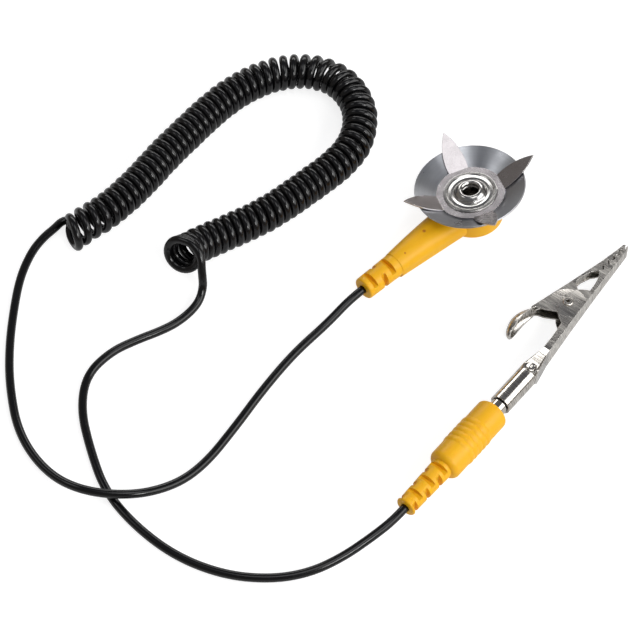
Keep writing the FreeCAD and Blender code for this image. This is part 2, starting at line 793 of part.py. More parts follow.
# Banana plug
def plug_outline():
    body = S.plug_dia / 2
    heel = -S.plug_length
    end = heel - S.plug_relief_length
    collar = S.plug_collar / 2
    points = [
        (end, Size(0)),
        (Size(0), Size(0)),
        (Size(0), body - S.plug_nose),
        (-S.plug_nose, body, S.plug_nose),
        (-S.grip_start, body),
    ]
    rings = 5
    for ring in range(1, rings + 1):
        points.append((-(S.grip_start + S.grip_pitch * ring), body, S.grip_round))
    points += [
        (heel + S.plug_heel, body),
        (heel, body - S.plug_heel, S.plug_heel),
        (heel, S.plug_relief_root / 2),
        (end + S.plug_collar_length, S.plug_relief_tip / 2),
        (end + S.plug_collar_length - 0.15, collar),
        (end + 0.45, collar),
        (end, collar - 0.45, 0.45),
    ]
    return points


def plug_cord_end():
    """End of the cord inside the plug: jacket, then bare strands in the pin's bore."""
    end = -(S.plug_length + S.plug_relief_length)
    strands = -(S.pin_shank_length - S.pin_cup_depth)
    jacket = -(S.pin_shank_length + 1.2)
    return keep("plug_cord_end", turned("plug_cord_end", [
        (end, Size(0)),
        (strands, Size(0)),
        (strands, S.strand_dia / 2),
        (jacket, S.strand_dia / 2),
        (jacket, S.cord_dia / 2),
        (end, S.cord_dia / 2),
    ], "H", PLUG))


def banana_pin():
    """Turned pin: knurled shank in the plug, collar, core and head."""
    shank = S.pin_shank / 2
    core = S.pin_core / 2
    head = S.pin_head / 2
    tip = S.pin_length
    start = -S.pin_shank_length
    return keep("banana_pin", turned("banana_pin", [
        (start + S.pin_cup_depth, Size(0)),
        (tip, Size(0)),
        (tip, head - 0.5),
        (tip - 0.5, head, 0.5),
        (tip - S.pin_head_length, head),
        (tip - S.pin_head_length, core),
        (S.pin_collar_length, core),
        (S.pin_collar_length, S.pin_collar / 2),
        (Size(0), S.pin_collar / 2),
        (Size(0), shank),
        (Size(-2.0), shank),
        (Size(-2.4), shank - 0.4),
        (Size(-3.4), shank - 0.4),
        (Size(-3.8), shank),
        (start, shank),
        (start, S.strand_dia / 2),
        (start + S.pin_cup_depth, S.strand_dia / 2),
    ], "H", PLUG))


def plug_moulding(inserts):
    """Yellow moulding of the plug with its grip rings and strain relief."""
    skin = turned("plug_skin", plug_outline(), "H", PLUG)
    stations = []
    for step in range(6):
        along = -(S.plug_length + S.plug_slot_start + S.plug_slot_pitch * step) - S.relief_slot / 2
        stations.append((along, "z" if step % 2 == 0 else "y"))
    slots = relief_slots("plug_slot", PLUG, stations, 4.0)
    return keep("plug_moulding", cut("plug_moulding", skin, slots + inserts))


def banana_spring_cage():
    """Cage of six bowed leaves that turns on the pin's core."""
    bore = S.pin_core / 2 + S.cage_clearance
    sheet = S.cage_sheet
    start = S.pin_collar_length + 0.15
    end = S.pin_length - S.pin_head_length - 0.15
    bow = S.cage_bulge / 2
    collar = Size(1.3)
    middle = (start + end) / 2
    flat = Size(1.6)
    shell = turned("cage_shell", [
        (start, bore),
        (start + collar, bore),
        (middle - flat, bow - sheet),
        (middle + flat, bow - sheet),
        (end - collar, bore),
        (end, bore),
        (end, bore + sheet),
        (end - collar, bore + sheet),
        (middle + flat, bow),
        (middle - flat, bow),
        (start + collar, bore + sheet),
        (start, bore + sheet),
    ], "H", PLUG)
    slits = []
    for step in range(3):
        slit = primitive("Box", f"cage_slit_{step}", PLUG * Placement(Vector(0, 0, 0), Rotation(X_AXIS, 60 * step)),
                         moved(x=start + collar, y=-bow, z=-S.cage_slot / 2),
                         Length=end - start - collar * 2, Width=bow * 2, Height=S.cage_slot)
        slits.append(slit)
    return keep("banana_spring_cage", cut("banana_spring_cage", shell, slits))


# Crocodile clip
def teeth_line(side_shift):
    """Crest and root points of the teeth from rear to front, moved sideways by side_shift."""
    count = int(S.teeth.value)
    points = []
    for step in range(2 * count + 1):
        share = step / (2 * count)
        along = S.teeth_start + (S.teeth_end - S.teeth_start) * share
        side = S.teeth_rear_side + (S.teeth_front_side - S.teeth_rear_side) * share
        swing = S.teeth_height * (0.5 if step % 2 == 0 else -0.5)
        points.append((along, side + side_shift + swing))
    return points


def wall_reach(along):
    """Half the width over the clip's walls, which lean in towards the nose."""
    return S.clip_width / 2 + S.clip_taper * (S.pivot_along - along)


def between_walls(name, points, planes, set_in):
    """Outline of a jaw, filled between its two wall planes. Each of these goes through the
    stations of planes, (along, reach), moved in by set_in."""
    tall = padded(name + "_tall", points, Size(-4.0), Size(4.0), PLUG)
    upper = [(along, reach - set_in) for along, reach in planes]
    lower = [(along, set_in - reach) for along, reach in reversed(planes)]
    wedge = padded(name + "_wedge", lower + upper, Size(-12.5), Size(4.0),
                   PLUG * Placement(Vector(0, 0, 0), Rotation(X_AXIS, 90)))
    between = doc.addObject("Part::Common", name)
    between.Base = tall
    between.Tool = wedge
    return between


def walls_and_web(name, points, planes, web_way):
    """Channel with a closed nose: the outline over the full width, less itself moved across
    by the sheet and, at the nose, back by the sheet."""
    sheet = S.sheet_steel
    outer = between_walls(name + "_outer", points, planes, Size(0))
    inside = []
    for point in points:
        along, side = as_size(point[0]), as_size(point[1])
        back = sheet if along.value > S.teeth_end.value + 1.2 else Size(0)
        inside.append((along - back, side + sheet * web_way) + tuple(point[2:]))
    inner = between_walls(name + "_inner", inside, planes, sheet)
    return cut(name, outer, [inner])


def rivet_hole(name, clearance, reach):
    return primitive("Cylinder", name, PLUG, moved(x=S.pivot_along, y=S.pivot_side, z=-reach),
                     Radius=S.clip_rivet_dia / 2 + clearance, Height=2 * reach)


def clip_fixed_jaw():
    """Fixed jaw: barrel, flattened neck, spine channel with ears, toothed walls."""
    outline = [
        (S.neck_end - 1.0, Size(0.95)),
        (S.neck_end - 1.0, Size(-1.15)),
        (Size(33.0), Size(0.22)),
        (Size(45.0), Size(1.33)),
        (Size(61.0), Size(2.6)),
        (Size(62.1), Size(3.3), Size(1.2)),
        (Size(62.1), Size(3.42)),
        (S.teeth_end + 1.0, S.teeth_front_side - 0.3),
    ]
    outline += list(reversed(teeth_line(Size(0))))
    outline += [
        (S.teeth_start - 1.1, S.teeth_rear_side - 0.5),
        (Size(48.2), Size(2.95)),
        (Size(46.3), Size(2.55)),
        (Size(44.0), Size(2.28)),
        (Size(41.3), Size(5.55), Size(6.5)),
        (Size(38.2), Size(6.48), Size(6.35)),
        (Size(34.6), Size(5.7), Size(7.55)),
        (Size(32.4), Size(3.8), Size(5.8)),
        (Size(31.1), Size(1.88)),
        (Size(26.3), Size(1.18)),
        (Size(22.0), Size(0.86)),
    ]
    planes = [(Size(19.0), wall_reach(Size(19.0))), (Size(64.0), wall_reach(Size(64.0)))]
    channel = walls_and_web("fixed_channel", outline, planes, Size(1))
    barrel = primitive("Cylinder", "barrel_skin", PLUG, moved(x=S.barrel_start, rotation=Rotation(Y_AXIS, 90)),
                       Radius=S.barrel_dia / 2, Height=S.barrel_end - S.barrel_start)
    bore = primitive("Cylinder", "barrel_hole", PLUG, moved(x=S.barrel_start, rotation=Rotation(Y_AXIS, 90)),
                     Radius=S.barrel_bore / 2, Height=S.barrel_end - S.barrel_start)
    dimples = []
    for side in (1, -1):
        dimples.append(primitive("Sphere", f"neck_dimple_{'top' if side > 0 else 'low'}", PLUG,
                                 moved(x=14.95, y=-0.4, z=4.02 * side), Radius=1.8))
    joined = fused("fixed_jaw_joined", [barrel, clip_neck(), channel])
    hole = rivet_hole("fixed_rivet_hole", Size(0), 4.0)
    return keep("clip_fixed_jaw", cut("clip_fixed_jaw", joined, [bore, hole] + dimples))


def clip_neck():
    """Neck pressed flat: a short swell from the round barrel, then two long flats that narrow
    to the spine."""
    body = doc.addObject("PartDesign::Body", "clip_neck")
    barrel = S.barrel_dia / 2
    sketches = []
    # Station along the plug, its middle, half width, half height and edge rounding
    for along, centre, half_width, half_height, edge in (
            (S.barrel_end, Size(0), barrel, barrel, barrel - 0.05),
            (S.barrel_end + 1.1, Size(-0.18), barrel * 0.84, barrel + 0.1, Size(0.7)),
            (S.neck_end, Size(-0.08), Size(1.03), wall_reach(S.neck_end), Size(0.25))):
        points = [
            (centre + half_width, half_height - edge),
            (centre + half_width - edge, half_height, edge),
            (centre - half_width + edge, half_height),
            (centre - half_width, half_height - edge, edge),
            (centre - half_width, -(half_height - edge)),
            (centre - half_width + edge, -half_height, edge),
            (centre + half_width - edge, -half_height),
            (centre + half_width, -(half_height - edge), edge),
        ]
        sketches.append(body_sketch(body, "YZ_Plane", points, along))
    loft = body.newObject("PartDesign::AdditiveLoft", "clip_neck_loft")
    loft.Profile = sketches[0]
    loft.Sections = sketches[1:]
    loft.Ruled = True
    body.Placement = PLUG
    return body


def clip_moving_jaw():
    """Moving jaw: a channel that fits between the ears and closes on the fixed teeth, with a
    thumb lever."""
    outline = [
        (Size(54.05), Size(5.61)),
        (Size(30.8), Size(10.95)),
        (Size(30.75), Size(10.45)),
        (Size(31.9), Size(9.2), Size(-1.9)),
        (Size(32.3), Size(7.8)),
        (Size(33.6), Size(5.4)),
        (Size(37.2), Size(2.25), Size(4.6)),
        (Size(41.3), Size(3.7), Size(5.0)),
        (Size(42.9), Size(5.24)),
        (Size(43.7), Size(6.3)),
        (Size(45.2), Size(6.95), Size(-1.7)),
        (Size(46.9), Size(6.75)),
        (Size(49.6), Size(5.7)),
        (S.teeth_start - 0.55, S.teeth_rear_side + 1.1),
    ]
    outline += teeth_line(S.teeth_play)
    outline += [
        (S.teeth_end + 1.0, S.teeth_front_side + 0.1),
        (Size(62.1), Size(3.82)),
        (Size(62.15), Size(3.95)),
        (Size(61.4), Size(4.42), Size(0.75)),
        (Size(59.5), Size(4.66)),
    ]
    inside_ears = S.sheet_steel + S.jaw_gap
    knee = Size(43.0)
    planes = [
        (Size(19.0), wall_reach(Size(19.0)) - inside_ears),
        (knee, wall_reach(knee) - inside_ears),
        (Size(64.0), wall_reach(Size(64.0)) + 0.05),
    ]
    channel = walls_and_web("moving_channel", outline, planes, Size(-1))
    joined = fused("moving_jaw_joined", [channel, clip_lever()])
    hole = rivet_hole("moving_rivet_hole", S.rivet_clearance, 4.0)
    return keep("clip_moving_jaw", cut("clip_moving_jaw", joined, [hole]))


def spoon(name, sections):
    """Loft of bowed sections across the plug's axis. Each is (along, crown, rim, half width):
    an arc from rim to rim over the crown, closed by its chord."""
    body = doc.addObject("PartDesign::Body", name)
    sketches = []
    for along, crown, rim, half_width in sections:
        rise = crown - rim
        bow = (half_width * half_width + rise * rise) / (2 * rise)
        outline = [(Size(rim), Size(-half_width)), (Size(rim), Size(half_width), Size(bow))]
        sketches.append(body_sketch(body, "YZ_Plane", outline, Size(along)))
    loft = body.newObject("PartDesign::AdditiveLoft", name + "_loft")
    loft.Profile = sketches[0]
    loft.Sections = sketches[1:]
    body.Placement = PLUG
    return body


def clip_lever():
    """Thumb lever: a dished spoon that grows out of the moving jaw's web."""
    skin = spoon("lever_skin", [
        (32.6, 10.5, 10.05, 1.6),
        (31.2, 11.0, 10.15, 1.95),
        (29.9, 11.75, 10.4, 2.3),
        (28.1, 12.6, 10.7, 2.7),
        (26.2, 13.05, 10.75, 2.9),
        (24.2, 12.95, 10.6, 2.8),
        (22.4, 12.4, 10.45, 2.3),
        (21.2, 11.75, 10.4, 1.5),
        (20.75, 11.3, 10.45, 1.0),
        (20.45, 10.95, 10.5, 0.5),
    ])
    hollow = spoon("lever_hollow", [
        (32.7, 10.1, 9.6, 1.2),
        (31.2, 10.58, 9.95, 1.5),
        (29.9, 11.32, 10.2, 1.88),
        (28.1, 12.15, 10.5, 2.28),
        (26.2, 12.6, 10.55, 2.48),
        (24.2, 12.5, 10.4, 2.38),
        (22.5, 11.95, 10.25, 1.88),
        (21.5, 11.35, 10.2, 1.1),
    ])
    return cut("lever", skin, [hollow])


def clip_rivet():
    """Hollow rivet through ears and jaw."""
    shank = S.clip_rivet_dia / 2
    head = S.clip_rivet_head / 2
    bore = S.clip_rivet_bore / 2
    wall = S.clip_width / 2 + S.clip_taper * head
    rise = S.clip_rivet_rise
    return keep("clip_rivet", turned("clip_rivet", [
        (bore, -(wall + rise)),
        (head - 0.3, -(wall + rise)),
        (head, -wall, 0.42),
        (shank, -wall),
        (shank, wall),
        (head, wall),
        (head - 0.3, wall + rise, 0.42),
        (bore, wall + rise),
    ], "V", PLUG * moved(x=S.pivot_along, y=S.pivot_side)))


def clip_torsion_spring():
    """Torsion spring round the rivet. Both legs point at the lever: one lies on the spine,
    the other under the moving jaw."""
    radius = S.spring_dia.value / 2
    pitch = S.spring_pitch.value
    first_angle = 288.5
    last_angle = 60.0 + 3 * 360
    turns = (last_angle - first_angle) / 360
    stations = []
    steps = 9
    for step in range(steps + 1):
        share = step / steps
        angle = math.radians(first_angle + (last_angle - first_angle) * share)
        point = Vector(radius * math.cos(angle), radius * math.sin(angle), pitch * turns * (share - 0.5))
        climb = 0.0 if step in (0, steps) else pitch / (2 * math.pi)
        way = Vector(-radius * math.sin(angle), radius * math.cos(angle), climb)
        stations.append((point, way.normalize()))
    return wound_tube("clip_torsion_spring", stations, 7.2, 7.9, S.spring_wire.value, 6,
                      PLUG * moved(x=S.pivot_along, y=S.pivot_side))


# Curly stretch and tails
COIL_AXIS = [
    Vector(-102.2, -9.4, 5.1), Vector(-95.9, -4.5, 4.8), Vector(-90.2, 1.7, 4.5), Vector(-84.9, 8.5, 4.5),
    Vector(-80.0, 15.8, 4.5), Vector(-74.5, 22.8, 4.5), Vector(-69.0, 29.7, 4.5), Vector(-63.0, 36.1, 4.5),
    Vector(-56.0, 41.0, 4.5), Vector(-48.3, 43.7, 4.5), Vector(-40.1, 43.7, 4.5), Vector(-32.6, 39.4, 4.5),
    Vector(-28.0, 30.2, 4.5), Vector(-29.7, 19.7, 4.5), Vector(-35.0, 12.0, 4.5), Vector(-41.3, 6.3, 4.5),
    Vector(-47.6, 0.6, 4.5), Vector(-54.0, -4.6, 4.5), Vector(-61.0, -8.6, 4.5), Vector(-66.8, -11.9, 4.6),
    Vector(-70.2, -14.6, 5.3), Vector(-72.4, -17.3, 6.5), Vector(-73.8, -20.0, 8.0),
]


def smooth_line(points, share_steps=24):
    """Smooth line inside a run of control points: parabolas that touch each leg at its middle.
    Gives sample points and their distance along the line."""
    knots = [points[0]] + [(a + b) * 0.5 for a, b in zip(points[1:-2], points[2:-1])] + [points[-1]]
    samples = []
    for start, corner, end in zip(knots, points[1:-1], knots[1:]):
        for step in range(share_steps):
            t = step / share_steps
            samples.append(start * ((1 - t) ** 2) + corner * (2 * t * (1 - t)) + end * (t * t))
    samples.append(points[-1])
    along = [0.0]
    for first, second in zip(samples, samples[1:]):
        along.append(along[-1] + first.distanceToPoint(second))
    return samples, along


def on_line(samples, along, distance):
    """Point, direction and bend radius at a distance along a sampled line."""
    index = min(max(sum(1 for value in along if value <= distance) - 1, 0), len(samples) - 2)
    share = (distance - along[index]) / (along[index + 1] - along[index])
    point = samples[index] + (samples[index + 1] - samples[index]) * share
    back = samples[max(index - 8, 0)]
    here = samples[index]
    ahead = samples[min(index + 9, len(samples) - 1)]
    way = (ahead - back).normalize()
    turn = (here - back).getAngle(ahead - here) if index > 0 else 0.0
    reach = (here - back).Length / 2 + (ahead - here).Length / 2
    return point, way, reach / max(turn, 1e-6)


def coil_stations():
    """Half-turn stations of the left-handed curls along the coil's axis. The first turns are
    loosened, and the last quarter turn unwinds outwards past the axis's end."""
    samples, along = smooth_line(COIL_AXIS)
    total = along[-1]
    wire = S.cord_dia.value
    tight = (S.coil_dia.value - wire) / 2
    loose = (S.coil_end_dia.value - wire) / 2

    def loosened(distance):
        return max(0.0, 1 - distance / S.coil_loose_length.value)

    def pitch_at(distance):
        nearby = [min(max(distance + offset, 0.0), total) for offset in (-3.0, -1.5, 0.0, 1.5, 3.0)]
        bend = min(on_line(samples, along, place)[2] for place in nearby)
        close = (wire + S.coil_gap.value) / max(1 - tight / bend, 0.3)
        return max(close, close + (S.coil_loose_pitch.value - close) * loosened(distance))

    # Distances of the half turns, counted with the local pitch and then fitted to the axis
    distances = [3.0]
    while distances[-1] < total:
        distances.append(distances[-1] + pitch_at(distances[-1]) / 2)
    halves = len(distances) - 1
    if halves % 2 == 0:
        halves -= 1
        distances.pop()
    stretch = (total - distances[0]) / (distances[-1] - distances[0])
    distances = [distances[0] + (value - distances[0]) * stretch for value in distances]

    def curl(half_turns):
        """Point after a number of half turns from the first low point of the curls."""
        whole = min(int(half_turns), halves - 1)
        share = half_turns - whole
        if half_turns <= halves:
            distance = distances[whole] + (distances[whole + 1] - distances[whole]) * share
            radius = tight + (loose - tight) * loosened(distance)
        else:
            beyond = (half_turns - halves) * 2
            distance = total + S.mouth_advance.value * beyond
            radius = tight + (S.mouth_dia.value / 2 - tight) * beyond
        centre, way, bend = on_line(samples, along, distance)
        left = Z_AXIS.cross(way).normalize()
        upward = way.cross(left)
        angle = math.pi * (1 + half_turns)
        return centre + (upward * math.cos(angle) + left * math.sin(angle)) * radius

    centre, way, bend = on_line(samples, along, 0.0)
    stations = [(centre + Z_AXIS.cross(way).normalize() * loose, way)]
    for half_turns in list(range(halves + 1)) + [halves + 0.25, halves + 0.5]:
        before = curl(max(half_turns - 0.02, 0.0))
        after = curl(half_turns + 0.02)
        stations.append((curl(half_turns), (after - before).normalize()))
    print(f"curls: {halves / 2 + 0.5:.1f} turns on an axis of {total:.1f} mm")
    return stations


def cord_coil():
    lead = S.cord_dia.value
    stations = coil_stations()
    wound_tube("cord_coil", stations, lead, lead, S.cord_dia.value, 6)
    first, last = stations[0], stations[-1]
    return (first[0] - first[1] * lead, first[1]), (last[0] + last[1] * lead, last[1])


def cord_tails(coil_start, coil_end):
    """Free cord on both sides of the curls. The first tail crosses over the second."""
    head_axis_frame = head_axis()
    head_exit = head_axis_frame.multVec(Vector(S.head_length.value, 0, 0))
    head_way = head_axis_frame.Rotation.multVec(X_AXIS)
    plug_exit = PLUG.multVec(Vector(-(S.plug_length.value + S.plug_relief_length.value), 0, 0))
    plug_way = PLUG.Rotation.multVec(X_AXIS)
    floor = S.tail_radius.value
    over = 4.0
    tail_snap = [
        head_exit, head_exit + head_way * 4.8, Vector(-37.2, -35.9, 1.6), Vector(-45.7, -44.8, floor),
        Vector(-53.4, -55.8, floor), Vector(-59.8, -66.4, floor), Vector(-67.2, -77.6, floor),
        Vector(-74.5, -84.0, 1.6), Vector(-84.5, -88.3, over), Vector(-96.5, -87.0, over),
        Vector(-105.8, -80.2, 1.6), Vector(-113.2, -68.8, floor), Vector(-116.3, -54.4, floor),
        Vector(-117.4, -42.3, floor), Vector(-117.1, -30.2, 1.2), Vector(-115.3, -19.6, 2.5),
        coil_start[0] - coil_start[1] * 5.5, coil_start[0],
    ]
    tail_plug = [
        coil_end[0], coil_end[0] + coil_end[1] * 3.4, Vector(-69.7, -28.6, 2.2), Vector(-70.6, -30.9, 1.3),
        Vector(-72.6, -33.6, floor),
        Vector(-77.5, -37.2, floor), Vector(-84.8, -40.4, floor), Vector(-91.6, -44.4, floor),
        Vector(-97.4, -51.5, floor), Vector(-98.2, -61.8, floor), Vector(-95.3, -73.4, floor),
        Vector(-91.2, -85.2, floor), Vector(-83.4, -95.2, floor), Vector(-73.3, -103.6, floor),
        Vector(-61.8, -108.5, floor), Vector(-50.9, -109.6, floor), Vector(-41.8, -108.2, 1.6),
        Vector(-33.9, -104.6, 2.7), Vector(-26.8, -99.9, 4.3),
        plug_exit - plug_way * 4.6, plug_exit,
    ]
    free_tube("cord_tail_snap", tail_snap, S.cord_dia.value)
    free_tube("cord_tail_plug", tail_plug, S.cord_dia.value)


# Assembly
socket_cup()
head_inserts = [socket_rivet(), terminal_tag(), series_resistor(), splice_ferrule(), head_cord_end()]
snap_head_moulding(head_inserts)
socket_spring()
dished_disc()
claw_plate()
centre_eyelet()
snap_stud()
plug_moulding([plug_cord_end(), banana_pin()])
banana_spring_cage()
clip_fixed_jaw()
clip_moving_jaw()
clip_rivet()
clip_torsion_spring()
cord_tails(*cord_coil())
doc.recompute()

# Checks, then one file for each piece
failed = [obj.Name for obj in doc.Objects if "Invalid" in obj.State or "Error" in obj.State]
for label, obj in NODES.items():
    if obj.Shape.isNull() or not obj.Shape.isValid() or obj.Shape.Volume <= 0:
        failed.append(label)
if failed:
    raise RuntimeError("failed: " + ", ".join(failed))
os.makedirs("parts", exist_ok=True)
for label, obj in NODES.items():
    obj.Shape.exportStep(os.path.join("parts", label + ".step"))
    print(f"{label}: {len(obj.Shape.Solids)} solid, volume {obj.Shape.Volume:.1f} mm3")
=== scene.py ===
"""Looks of the coiled grounding lead: the cord with its curls, the finish of every piece, the
studio and the camera. Everything is in metres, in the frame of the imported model."""
import math

import bpy
import numpy as np
from mathutils import Euler, Matrix, Vector


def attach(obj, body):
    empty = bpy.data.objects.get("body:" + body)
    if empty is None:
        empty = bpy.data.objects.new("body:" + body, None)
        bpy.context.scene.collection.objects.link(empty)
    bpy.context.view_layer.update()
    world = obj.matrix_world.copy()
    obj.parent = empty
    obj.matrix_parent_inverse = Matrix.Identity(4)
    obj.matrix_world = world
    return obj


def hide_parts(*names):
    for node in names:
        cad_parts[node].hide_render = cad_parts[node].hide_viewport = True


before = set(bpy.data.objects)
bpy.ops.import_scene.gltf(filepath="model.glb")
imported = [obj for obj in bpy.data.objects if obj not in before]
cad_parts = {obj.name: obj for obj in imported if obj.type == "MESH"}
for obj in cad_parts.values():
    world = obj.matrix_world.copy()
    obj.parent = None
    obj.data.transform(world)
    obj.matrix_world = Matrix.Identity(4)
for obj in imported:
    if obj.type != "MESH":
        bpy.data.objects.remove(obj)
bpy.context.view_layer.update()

MM = 0.001

# Frames of the three assemblies: place in metres and turn. The disc leans 9 degrees on its stud.
HEAD_TURN = Matrix.Rotation(math.radians(223.5), 3, "Z")
LEAN_HEADING = math.radians(235.2)
LEAN_AXIS = Vector((math.cos(LEAN_HEADING), math.sin(LEAN_HEADING), 0))
DISC_TURN = Matrix.Rotation(math.radians(9), 3, LEAN_AXIS)
DISC_PLACE = (Vector((0, 0, 4.7)) + DISC_TURN @ Vector((0, 0, 3.344))) * MM
PLUG_TURN = Matrix.Rotation(math.radians(51.49), 3, "Z") @ Matrix.Rotation(math.radians(1.45), 3, "Y")
PLUG_PLACE = Vector((3.27, -64.46, 4.2)) * MM
CLIP_PIVOT = PLUG_PLACE + PLUG_TURN @ Vector((37.5, 4.5, 0)) * MM


# Materials
def linear(code):
    """sRGB hex colour to linear RGBA: each channel c becomes ((c + 0.055) / 1.055) ** 2.4, or
    c / 12.92 where it is dark."""
    channels = [int(code[i:i + 2], 16) / 255 for i in (1, 3, 5)]
    return [c / 12.92 if c <= 0.04045 else ((c + 0.055) / 1.055) ** 2.4 for c in channels] + [1.0]


def output_of(source):
    """The socket itself, or a node's first output in use."""
    return next(out for out in source.outputs if out.enabled) if hasattr(source, "outputs") else source


def add(tree, kind, values=None, links=None, **settings):
    """One shader node with its settings, socket values and links from nodes or sockets."""
    made = tree.nodes.new("ShaderNode" + kind)
    for name, value in settings.items():
        setattr(made, name, value)
    for socket, value in (values or {}).items():
        made.inputs[socket].default_value = value
    for socket, source in (links or {}).items():
        tree.links.new(output_of(source), made.inputs[socket])
    return made


def grain_size(size_mm, detail=3.0, roughness=0.55):
    """Noise values whose blotches come out about size_mm across."""
    return {"Scale": 1 / (size_mm * MM), "Detail": detail, "Roughness": roughness}


def spread_to(low, high):
    """Range values that take 0.3..0.7, where noise mostly lies, to low..high."""
    return {"From Min": 0.3, "From Max": 0.7, "To Min": low, "To Max": high}


def fading(start_mm, end_mm, before, after):
    """Range values that go from before to after between two places along a piece."""
    return {"From Min": start_mm * MM, "From Max": end_mm * MM, "To Min": before, "To Max": after}


def tints(first, second):
    """Mix values for two hex colours."""
    return {"A": linear(first), "B": linear(second)}


def fill_ramp(ramp, stops):
    """Puts (place, linear colour) stops in place of a colour ramp's first two."""
    elements = ramp.color_ramp.elements
    for place, colour in stops:
        stop = elements.new(place)
        stop.color = colour
    elements.remove(elements[-1])
    elements.remove(elements[0])


def new_material(name, values=None):
    """Material with a Principled shader, some of whose own sockets get a value."""
    material = bpy.data.materials.new(name)
    material.use_nodes = True
    tree = material.node_tree
    tree.nodes.clear()
    surface = add(tree, "BsdfPrincipled", values)
    add(tree, "OutputMaterial", links={"Surface": surface})
    return material, tree, surface


def join(tree, surface, links):
    """Links nodes to the shader's sockets."""
    for socket, source in links.items():
        tree.links.new(output_of(source), surface.inputs[socket])


def pattern_space(tree, place=(0, 0, 0), turn=None, stretch=(1, 1, 1)):
    """Object coordinates taken into a piece's own frame, then stretched."""
    angles = turn.to_euler() if turn is not None else Euler()
    where = add(tree, "TexCoord").outputs["Object"]
    local = add(tree, "Mapping", {"Location": place, "Rotation": angles}, {"Vector": where},
                vector_type="TEXTURE")
    return add(tree, "Mapping", {"Scale": stretch}, {"Vector": local})


def bumped(tree, surface, heights, round_mm=0.0):
    """Bump from several (height, distance in mm, strength), laid one over another, on edges that
    are rounded to the eye by round_mm."""
    normal = add(tree, "Bevel", {"Radius": round_mm * MM}, samples=6) if round_mm else None
    for height, distance, strength in heights:
        links = {"Height": height}
        if normal is not None:
            links["Normal"] = normal
        normal = add(tree, "Bump", {"Distance": distance * MM, "Strength": strength}, links)
    join(tree, surface, {"Normal": normal})


def edge_wear_and_glint(tree, round_mm):
    """0 on open faces and 1 on edges: how far the rounded normal leans away from the true one. It marks edges
    painted bright, partly as rubbed wear and partly as a painted highlight.
    """
    rounded = add(tree, "Bevel", {"Radius": round_mm * MM}, samples=6)
    plain = add(tree, "NewGeometry").outputs["Normal"]
    lean = add(tree, "VectorMath", links={0: rounded, 1: plain}, operation="DOT_PRODUCT")
    return add(tree, "MapRange", {"From Min": 0.97, "From Max": 0.8, "To Min": 0.0, "To Max": 1.0},
               {"Value": lean})


def round_spot(tree, space, centre_mm, radius_mm):
    """1 at a point of the piece's level plane, down to 0 at radius_mm from it: 1 - (d / r) ** 2."""
    centre = (centre_mm[0] * MM, centre_mm[1] * MM, 0)
    flat = add(tree, "VectorMath", {1: (1, 1, 0)}, {0: space}, operation="MULTIPLY")
    away = add(tree, "VectorMath", {1: centre}, {0: flat}, operation="DISTANCE")
    share = add(tree, "Math", {1: 1 / (radius_mm * MM)}, {0: away}, operation="MULTIPLY")
    square = add(tree, "Math", links={0: share, 1: share}, operation="MULTIPLY")
    return add(tree, "Math", {0: 1.0}, {1: square}, operation="SUBTRACT", use_clamp=True)


def moulded_pvc(name, place=(0, 0, 0), turn=None, pins=()):
    """Flexible PVC moulded over the parts: golden yellow, semi-matte, with the mould's fine
    spark-eroded grain, cloudy colour, and a small pit where each mould pin stood, painted darker
    towards its middle as shade in the hollow."""
    material, tree, surface = new_material(name, {
        "IOR": 1.53, "Specular IOR Level": 0.35, "Subsurface Weight": 0.12,
        "Subsurface Radius": (1.0, 0.45, 0.12), "Subsurface Scale": 0.6 * MM})
    space = pattern_space(tree, place, turn)
    cloud = add(tree, "TexNoise", grain_size(6.0, 4.0), {"Vector": space})
    grain = add(tree, "TexNoise", grain_size(0.22, 2.0), {"Vector": space})
    swell = add(tree, "TexNoise", grain_size(3.0), {"Vector": space})
    patches = add(tree, "TexNoise", grain_size(1.6), {"Vector": space})
    colour = add(tree, "Mix", tints("#E6A808", "#EFB40F"), {"Factor": cloud}, data_type="RGBA")
    heights = [(grain, 0.03, 0.25), (swell, 0.12, 0.2)]
    for centre, radius, depth in pins:
        pit_and_shade = round_spot(tree, space, centre, radius)
        # Painted shade: each pin's pit is darkened towards its middle, as shade in the hollow
        colour = add(tree, "Mix", {"B": linear("#B8660C")}, {"Factor": pit_and_shade, "A": colour}, data_type="RGBA")
        heights.append((pit_and_shade, -depth, 1.0))
    rough = add(tree, "MapRange", spread_to(0.36, 0.48), {"Value": patches})
    join(tree, surface, {"Base Color": colour, "Roughness": rough})
    bumped(tree, surface, heights, 0.3)
    return material


def polyurethane_jacket():
    """Extruded polyurethane jacket: glossy black, a little uneven from the die and from handling,
    so that its highlights are crisp but broken."""
    material, tree, surface = new_material("extruded_black_polyurethane", {
        "IOR": 1.5, "Specular IOR Level": 0.4})
    space = pattern_space(tree)
    cloud = add(tree, "TexNoise", grain_size(4.0), {"Vector": space})
    marks = add(tree, "TexNoise", grain_size(2.5), {"Vector": space})
    waves = add(tree, "TexNoise", grain_size(1.8), {"Vector": space})
    colour = add(tree, "Mix", tints("#060607", "#0E0E10"), {"Factor": cloud}, data_type="RGBA")
    rough = add(tree, "MapRange", spread_to(0.13, 0.22), {"Value": marks})
    join(tree, surface, {"Base Color": colour, "Roughness": rough})
    bumped(tree, surface, [(waves, 0.02, 0.2)])
    return material


def finish_metal(tree, surface, grain, colours, rough, edge_round_mm, heights):
    """Metal whose grain tints it, with edges painted bright: partly rubbed wear, partly a painted highlight
    along them.
    """
    rubbed_glint_mask = edge_wear_and_glint(tree, edge_round_mm)
    body = add(tree, "Mix", tints(*colours), {"Factor": grain}, data_type="RGBA")
    # Painted highlight and rubbed wear: edges are mixed towards a pale colour
    colour = add(tree, "Mix", {"B": linear("#EFECE6")}, {"Factor": rubbed_glint_mask, "A": body}, data_type="RGBA")
    surface.inputs["Metallic"].default_value = 1.0
    join(tree, surface, {"Base Color": colour, "Roughness": rough})
    bumped(tree, surface, heights, edge_round_mm)


